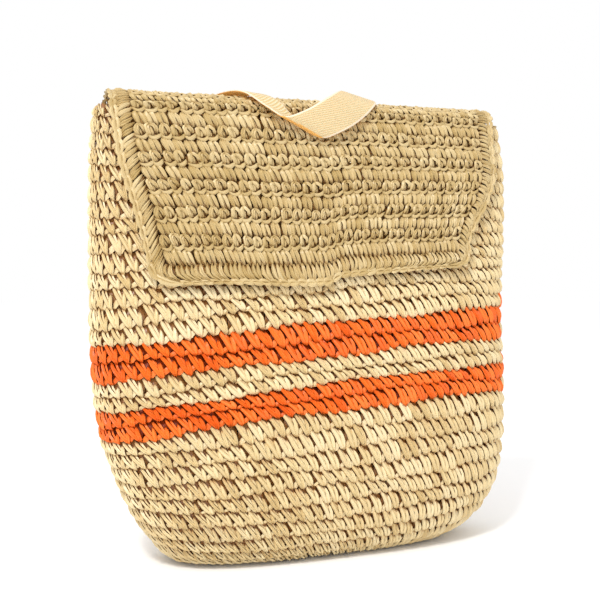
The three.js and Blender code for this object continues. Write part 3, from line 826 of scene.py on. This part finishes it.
# The flap's surface, carried straight on past its edges
def extended_flap(across, along):
    inside_across, inside_along = np.clip(across, 0, 1), np.clip(along, 0, 1)
    point = flap_point(inside_across, inside_along)
    step = 0.01
    sideways = flap_point(np.minimum(inside_across + step, 1), inside_along) - flap_point(
        np.maximum(inside_across - step, 0), inside_along
    )
    span_across = np.minimum(inside_across + step, 1) - np.maximum(inside_across - step, 0)
    onward = flap_point(inside_across, np.minimum(inside_along + step, 1)) - flap_point(
        inside_across, np.maximum(inside_along - step, 0)
    )
    span_along = np.minimum(inside_along + step, 1) - np.maximum(inside_along - step, 0)
    point = point + sideways * ((across - inside_across) / span_across)[..., None]
    return point + onward * ((along - inside_along) / span_along)[..., None]


# Round of single stitches down the flap's right edge, along the lower one and up the left, heads at the edge
SIDE_END = BORDER_SIDE_STITCHES
LOWER_END = SIDE_END + BORDER_LOWER_STITCHES
BORDER_STITCHES = LOWER_END + BORDER_SIDE_STITCHES


def border_place(column, row):
    column = BORDER_STITCHES - column
    down = np.clip(column / SIDE_END, -0.2, 1)
    over = np.clip((column - SIDE_END) / BORDER_LOWER_STITCHES, 0, 1)
    back_up = np.clip((column - LOWER_END) / BORDER_SIDE_STITCHES, 0, 1.2)
    rise = down - back_up
    inner_along = (1 - BORDER_ALONG) * rise
    inner_across = lerp(BORDER_ACROSS, 1 - BORDER_ACROSS, over)
    return extended_flap(lerp(inner_across, over, row), lerp(inner_along, rise, row))


flap_ground = ground(
    "flap_ground",
    flap_place,
    np.arange(-8, 4 * FLAP_COLUMNS + 9) / 4,
    np.arange(-8, 4 * FLAP_ROWS + 5) / 4,
    steady(0.34),
    steady(0.5),
)
border_ground = ground(
    "border_ground",
    border_place,
    np.arange(-4, 4 * BORDER_STITCHES + 5) / 4,
    np.arange(-4, 9) / 4,
    steady(0.15),
    steady(0.5),
)

flap_sizes = {"Columns": FLAP_COLUMNS, "Row Step": 2, "Sink": 0.1 * MM, "Unevenness": 0.13}
crocheted(
    "flap_leaf_rows", flap_ground, leaf_kinds, flap_straw,
    {**flap_sizes, "Count": 10 * FLAP_COLUMNS, "First Row": 0, "Seed": 40},
    ["flap"],
)
crocheted(
    "flap_smile_rows", flap_ground, smile_kinds, flap_straw,
    {**flap_sizes, "Count": 9 * FLAP_COLUMNS, "First Row": 1, "Seed": 41},
    ["flap"],
)
crocheted(
    "flap_border", border_ground, leaf_kinds, flap_straw,
    {"Columns": BORDER_STITCHES, "Count": BORDER_STITCHES, "First Row": 0, "Sink": 0.0, "Seed": 42},
    ["flap"],
)


# Chain along the flap's edge, just outside the border
def chain_place(column, row):
    at = column / CHAIN_LINKS * BORDER_STITCHES
    edge = border_place(at, np.ones_like(at))
    inside = border_place(at, np.full_like(at, 0.5))
    away = unit(edge - inside)
    return edge + away * (row * CHAIN_STITCH[1] + EDGING_CLEARANCE)[..., None]


chain_ground = ground(
    "chain_ground",
    chain_place,
    np.arange(-8, 4 * CHAIN_LINKS + 9) / 4,
    np.arange(-4, 9) / 4,
    steady(0.0),
    steady(0.5),
)
crocheted(
    "edge_chain", chain_ground, chain_kinds, flap_straw,
    {"Columns": CHAIN_LINKS, "Count": CHAIN_LINKS, "First Row": 0, "Sink": 0.0, "Seed": 43, "Unevenness": 0.1},
    ["flap_edging"],
)

for spare in (shell_ground, base_ground, flap_ground, border_ground, chain_ground):
    bpy.data.objects.remove(spare)
for collection in (shell_kinds, leaf_kinds, smile_kinds, chain_kinds):
    for spare in list(collection.objects):
        bpy.data.objects.remove(spare)
    bpy.data.collections.remove(collection)


# Cotton webbing that reaches the eye as fine slanting ribs between two smooth edges, in a warm cream. Light comes
# through it, and the side towards the bag is painted amber besides, as a painted glow.
def webbing_material():
    material = bpy.data.materials.new("woven cotton tape")
    material.use_nodes = True
    tree = material.node_tree
    shader = tree.nodes["Principled BSDF"]
    weave = add(tree, "ShaderNodeUVMap", uv_map="weave").outputs["UV"]
    # Ribs 1.9 mm apart
    twill = add(tree, "ShaderNodeUVMap", uv_map="twill").outputs["UV"]
    slanted = add(tree, "ShaderNodeMapping", {"Vector": twill, "Rotation": (0.0, 0.0, math.radians(49))}).outputs[0]
    waves = {"Vector": slanted, "Scale": math.pi / 10 / 1.9, "Distortion": 0.2}
    ribs = add(tree, "ShaderNodeTexWave", waves).outputs["Fac"]
    # Yarns 0.6 mm apart, crossing the ribs
    yarns = add(tree, "ShaderNodeTexNoise", {"Vector": weave, "Scale": 1.7, "Detail": 2.0}).outputs["Fac"]
    place = add(tree, "ShaderNodeSeparateXYZ", {0: weave}).outputs
    from_middle = add(tree, "ShaderNodeMath", {0: place[0]}, operation="ABSOLUTE").outputs[0]
    # Smooth selvedge, 1.2 mm wide
    selvedge = add(tree, "ShaderNodeMapRange", {"Value": from_middle, 1: 11.1, 2: 11.5, 3: 0.0, 4: 1.0}).outputs[0]
    dark_and_light = {0: ribs, 6: colour("D9C88E"), 7: colour("F8F0CA")}
    ribbed = add(tree, "ShaderNodeMix", dark_and_light, data_type="RGBA").outputs[2]
    edged = add(tree, "ShaderNodeMix", {0: selvedge, 6: ribbed, 7: colour("FBF5DE")}, data_type="RGBA").outputs[2]
    shade = add(tree, "ShaderNodeMapRange", {"Value": yarns, 1: 0.3, 2: 0.7, 3: 0.98, 4: 1.01}).outputs[0]
    uneven = {0: 1.0, 6: edged, 7: shade}
    mottled = add(tree, "ShaderNodeMix", uneven, data_type="RGBA", blend_type="MULTIPLY").outputs[2]
    flat_edge = add(tree, "ShaderNodeMix", {0: selvedge, 2: ribs, 3: 0.6}, data_type="FLOAT").outputs[0]
    height = add(tree, "ShaderNodeMath", {0: yarns, 1: 0.06, 2: flat_edge}, operation="MULTIPLY_ADD").outputs[0]
    bump = add(tree, "ShaderNodeBump", {"Height": height, "Strength": 0.9, "Distance": 0.35 * MM})
    # Painted glow: the side towards the bag is coloured amber
    painted_glow_side = add(tree, "ShaderNodeAttribute", attribute_name="painted_glow_side").outputs["Fac"]
    with_painted_glow = add(tree, "ShaderNodeMix", {0: painted_glow_side, 6: mottled, 7: colour("FFC264")}, data_type="RGBA").outputs[2]
    tree.links.new(with_painted_glow, shader.inputs["Base Color"])
    tree.links.new(bump.outputs[0], shader.inputs["Normal"])
    shader.inputs["Roughness"].default_value = 0.75
    shader.inputs["Sheen Weight"].default_value = 0.15
    glow = {"Color": colour("FADCA0"), "Normal": bump.outputs[0]}
    through = add(tree, "ShaderNodeBsdfTranslucent", glow).outputs[0]
    both = add(tree, "ShaderNodeMixShader", {0: 0.35, 1: shader.outputs[0], 2: through}).outputs[0]
    tree.links.new(both, tree.nodes["Material Output"].inputs["Surface"])
    return material


cotton_tape = webbing_material()
BAG_MIDDLE = np.array([0.0, BACK_LEAN, BAG_HEIGHT * 0.6])
TAPE_ACROSS = np.array([-1, -0.97, -0.9, -0.7, -0.45, -0.2, 0, 0.2, 0.45, 0.7, 0.9, 0.97, 1])


# A length of tape from the grid of places along its middle layer, with its UV in millimetres
def tape(name, middle, node):
    along, across = np.gradient(middle, axis=0), np.gradient(middle, axis=1)
    out = unit(np.cross(along, across))
    half = (WEBBING_THICKNESS / 2 * np.sqrt(1 - TAPE_ACROSS**12))[None, :, None]
    ring = np.concatenate([middle + out * half, (middle - out * half)[:, -2:0:-1]], axis=1)
    rows, n = ring.shape[:2]
    faces = [
        (k * n + j, (k + 1) * n + j, (k + 1) * n + (j + 1) % n, k * n + (j + 1) % n)
        for k in range(rows - 1)
        for j in range(n)
    ]
    faces += [tuple(range(n)), tuple((rows - 1) * n + j for j in reversed(range(n)))]
    piece = new_mesh_object(name, ring.reshape(-1, 3) * MM, faces)
    mesh = piece.data
    mesh.shade_smooth()
    line = middle[:, len(TAPE_ACROSS) // 2]
    travelled = np.concatenate([[0], np.cumsum(np.linalg.norm(np.diff(line, axis=0), axis=1))])
    side = np.concatenate([TAPE_ACROSS, TAPE_ACROSS[-2:0:-1]]) * WEBBING_WIDTH / 2
    places = np.stack([np.tile(side, rows), np.repeat(travelled, n)], axis=1)
    add_uv(mesh, "weave", places)
    # The slant of the ribs is mirrored on the tape's other face
    mirrored = places.copy()
    mirrored[:, 0] *= np.tile([-1] * len(TAPE_ACROSS) + [1] * (n - len(TAPE_ACROSS)), rows)
    add_uv(mesh, "twill", mirrored)
    # The side that faces the middle of the bag, which gets the painted amber glow
    spine = np.concatenate([middle, middle[:, -2:0:-1]], axis=1)
    inward = ((ring - spine) * (spine - BAG_MIDDLE)).sum(axis=-1) < 0
    painted_glow_side = mesh.attributes.new("painted_glow_side", "FLOAT", "POINT")
    painted_glow_side.data.foreach_set("value", inward.ravel().astype(float))
    mesh.materials.append(cotton_tape)
    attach(piece, "root")
    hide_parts(node)
    return piece


def directions(point, onward, over):
    onward, over = unit(onward), unit(over)
    return point, over, onward, unit(np.cross(onward, over))


def back_frame(x, height):
    onward = surface_at(x, height + 1, True) - surface_at(x, height - 1, True)
    over = surface_at(x + 1, height, True) - surface_at(x - 1, height, True)
    return directions(surface_at(x, height, True), onward, over)


# Where the loop rests: on the flap for an along of 0 to 1, on the back below the rim for an along of 0 down to -1
def resting_frame(x, along):
    if along < 0:
        return back_frame(x, surface_at(x, BAG_HEIGHT, True)[2] + along * LOOP_TAIL)
    left, right = flap_point(0, along)[0], flap_point(1, along)[0]
    across = (x - left) / (right - left)
    step = 0.01
    over = flap_point(across + step, along) - flap_point(across - step, along)
    onward = flap_point(across, along + step) - flap_point(across, max(0, along - step))
    point, over, onward, out = directions(flap_point(across, along), onward, over)
    return point + out * FLAP_THICKNESS / 2, over, onward, out


def loop_edges():
    edges = []
    for step in range(len(LOOP["step"])):
        at = {name: column[step] for name, column in LOOP.items()}
        point, over, onward, out = resting_frame(at["side"] * LOOP_SPREAD / 2, at["along"])
        turn, tip = math.radians(at["turn"]), math.radians(at["tip"])
        middle = point + out * (GAP + WEBBING_THICKNESS / 2 + at["proud"] * WEBBING_WIDTH)
        level = (over * math.cos(turn) + onward * math.sin(turn)) * math.cos(tip)
        half = (level + out * math.sin(tip)) * at["spread"] * WEBBING_WIDTH / 2
        edges.append((middle - half, middle + half))
    return np.array(edges)


def loop_tape():
    edges = loop_edges()
    near, far = smooth_path(edges[:, 0], 180), smooth_path(edges[:, 1], 180)
    share = ((TAPE_ACROSS + 1) / 2)[None, :, None]
    return lerp(near[:, None], far[:, None], share)


# A shoulder strap lies flat where it is sewn on and stands away from the back between
def strap_tape(side):
    along, across = np.meshgrid(np.linspace(0, 1, 141), (TAPE_ACROSS + 1) / 2, indexing="ij")
    patch = 0.1
    slack = np.clip((along - patch) / (1 - 2 * patch), 0, 1)
    top = (LOOP_LEFT if side < 0 else LOOP_RIGHT) * LOOP_SPREAD / 2
    middle = lerp(top, side * STRAP_FOOT_SPREAD / 2, slack * slack * (3 - 2 * slack))
    x = middle + (across - 0.5) * WEBBING_WIDTH
    point, over, onward, out = back_frame(x, lerp(STRAP_TOP, STRAP_FOOT, along))
    place = point + out * (GAP + WEBBING_THICKNESS / 2)
    place[..., 1] += STRAP_BULGE * np.sin(np.pi * slack) ** 1.5
    return place[::-1]


tape("grab_loop_tape", loop_tape(), "grab_loop")
tape("strap_left_tape", strap_tape(-1), "strap_left")
tape("strap_right_tape", strap_tape(1), "strap_right")

# Floor, light and camera
floor_mesh = new_mesh_object("floor", [(-8, -8, 0), (8, -8, 0), (8, 8, 0), (-8, 8, 0)], [(0, 1, 2, 3)])
floor_material = bpy.data.materials.new("pale floor")
floor_material.use_nodes = True
floor_shader = floor_material.node_tree.nodes["Principled BSDF"]
floor_shader.inputs["Base Color"].default_value = colour("FFFFFF")
floor_shader.inputs["Roughness"].default_value = 1.0
floor_shader.inputs["Specular IOR Level"].default_value = 0.0
floor_mesh.data.materials.append(floor_material)


def area_light(name, place, aim, size, power):
    light = bpy.data.lights.new(name, "AREA")
    light.size = size
    light.energy = power
    lamp = bpy.data.objects.new(name, light)
    lamp.location = place
    lamp.rotation_euler = (Vector(aim) - Vector(place)).to_track_quat("-Z", "Y").to_euler()
    bpy.context.scene.collection.objects.link(lamp)


area_light("key", (-0.85, -0.95, 1.75), (0.0, 0.0, 0.17), 0.35, 23)
area_light("fill", (-0.6, -1.4, 0.25), (0.0, 0.0, 0.12), 1.2, 3.5)

world = bpy.data.worlds.new("studio")
bpy.context.scene.world = world
world.use_nodes = True
world.node_tree.nodes["Background"].inputs["Color"].default_value = colour("FFFFFF")
world.node_tree.nodes["Background"].inputs["Strength"].default_value = 1.0
bpy.context.scene.view_settings.view_transform = "Standard"

YAW = math.radians(20)
PITCH = math.radians(1.2)
DISTANCE = 0.69
target = Vector((-0.005, 0.010, 0.186))
back = Vector((-math.sin(YAW) * math.cos(PITCH), -math.cos(YAW) * math.cos(PITCH), math.sin(PITCH)))
camera_data = bpy.data.cameras.new("camera")
camera_data.lens = 54
camera_data.sensor_width = 36
camera = bpy.data.objects.new("camera", camera_data)
camera.location = target + back * DISTANCE
camera.rotation_euler = (-back).to_track_quat("-Z", "Y").to_euler()
bpy.context.scene.collection.objects.link(camera)
bpy.context.scene.camera = camera
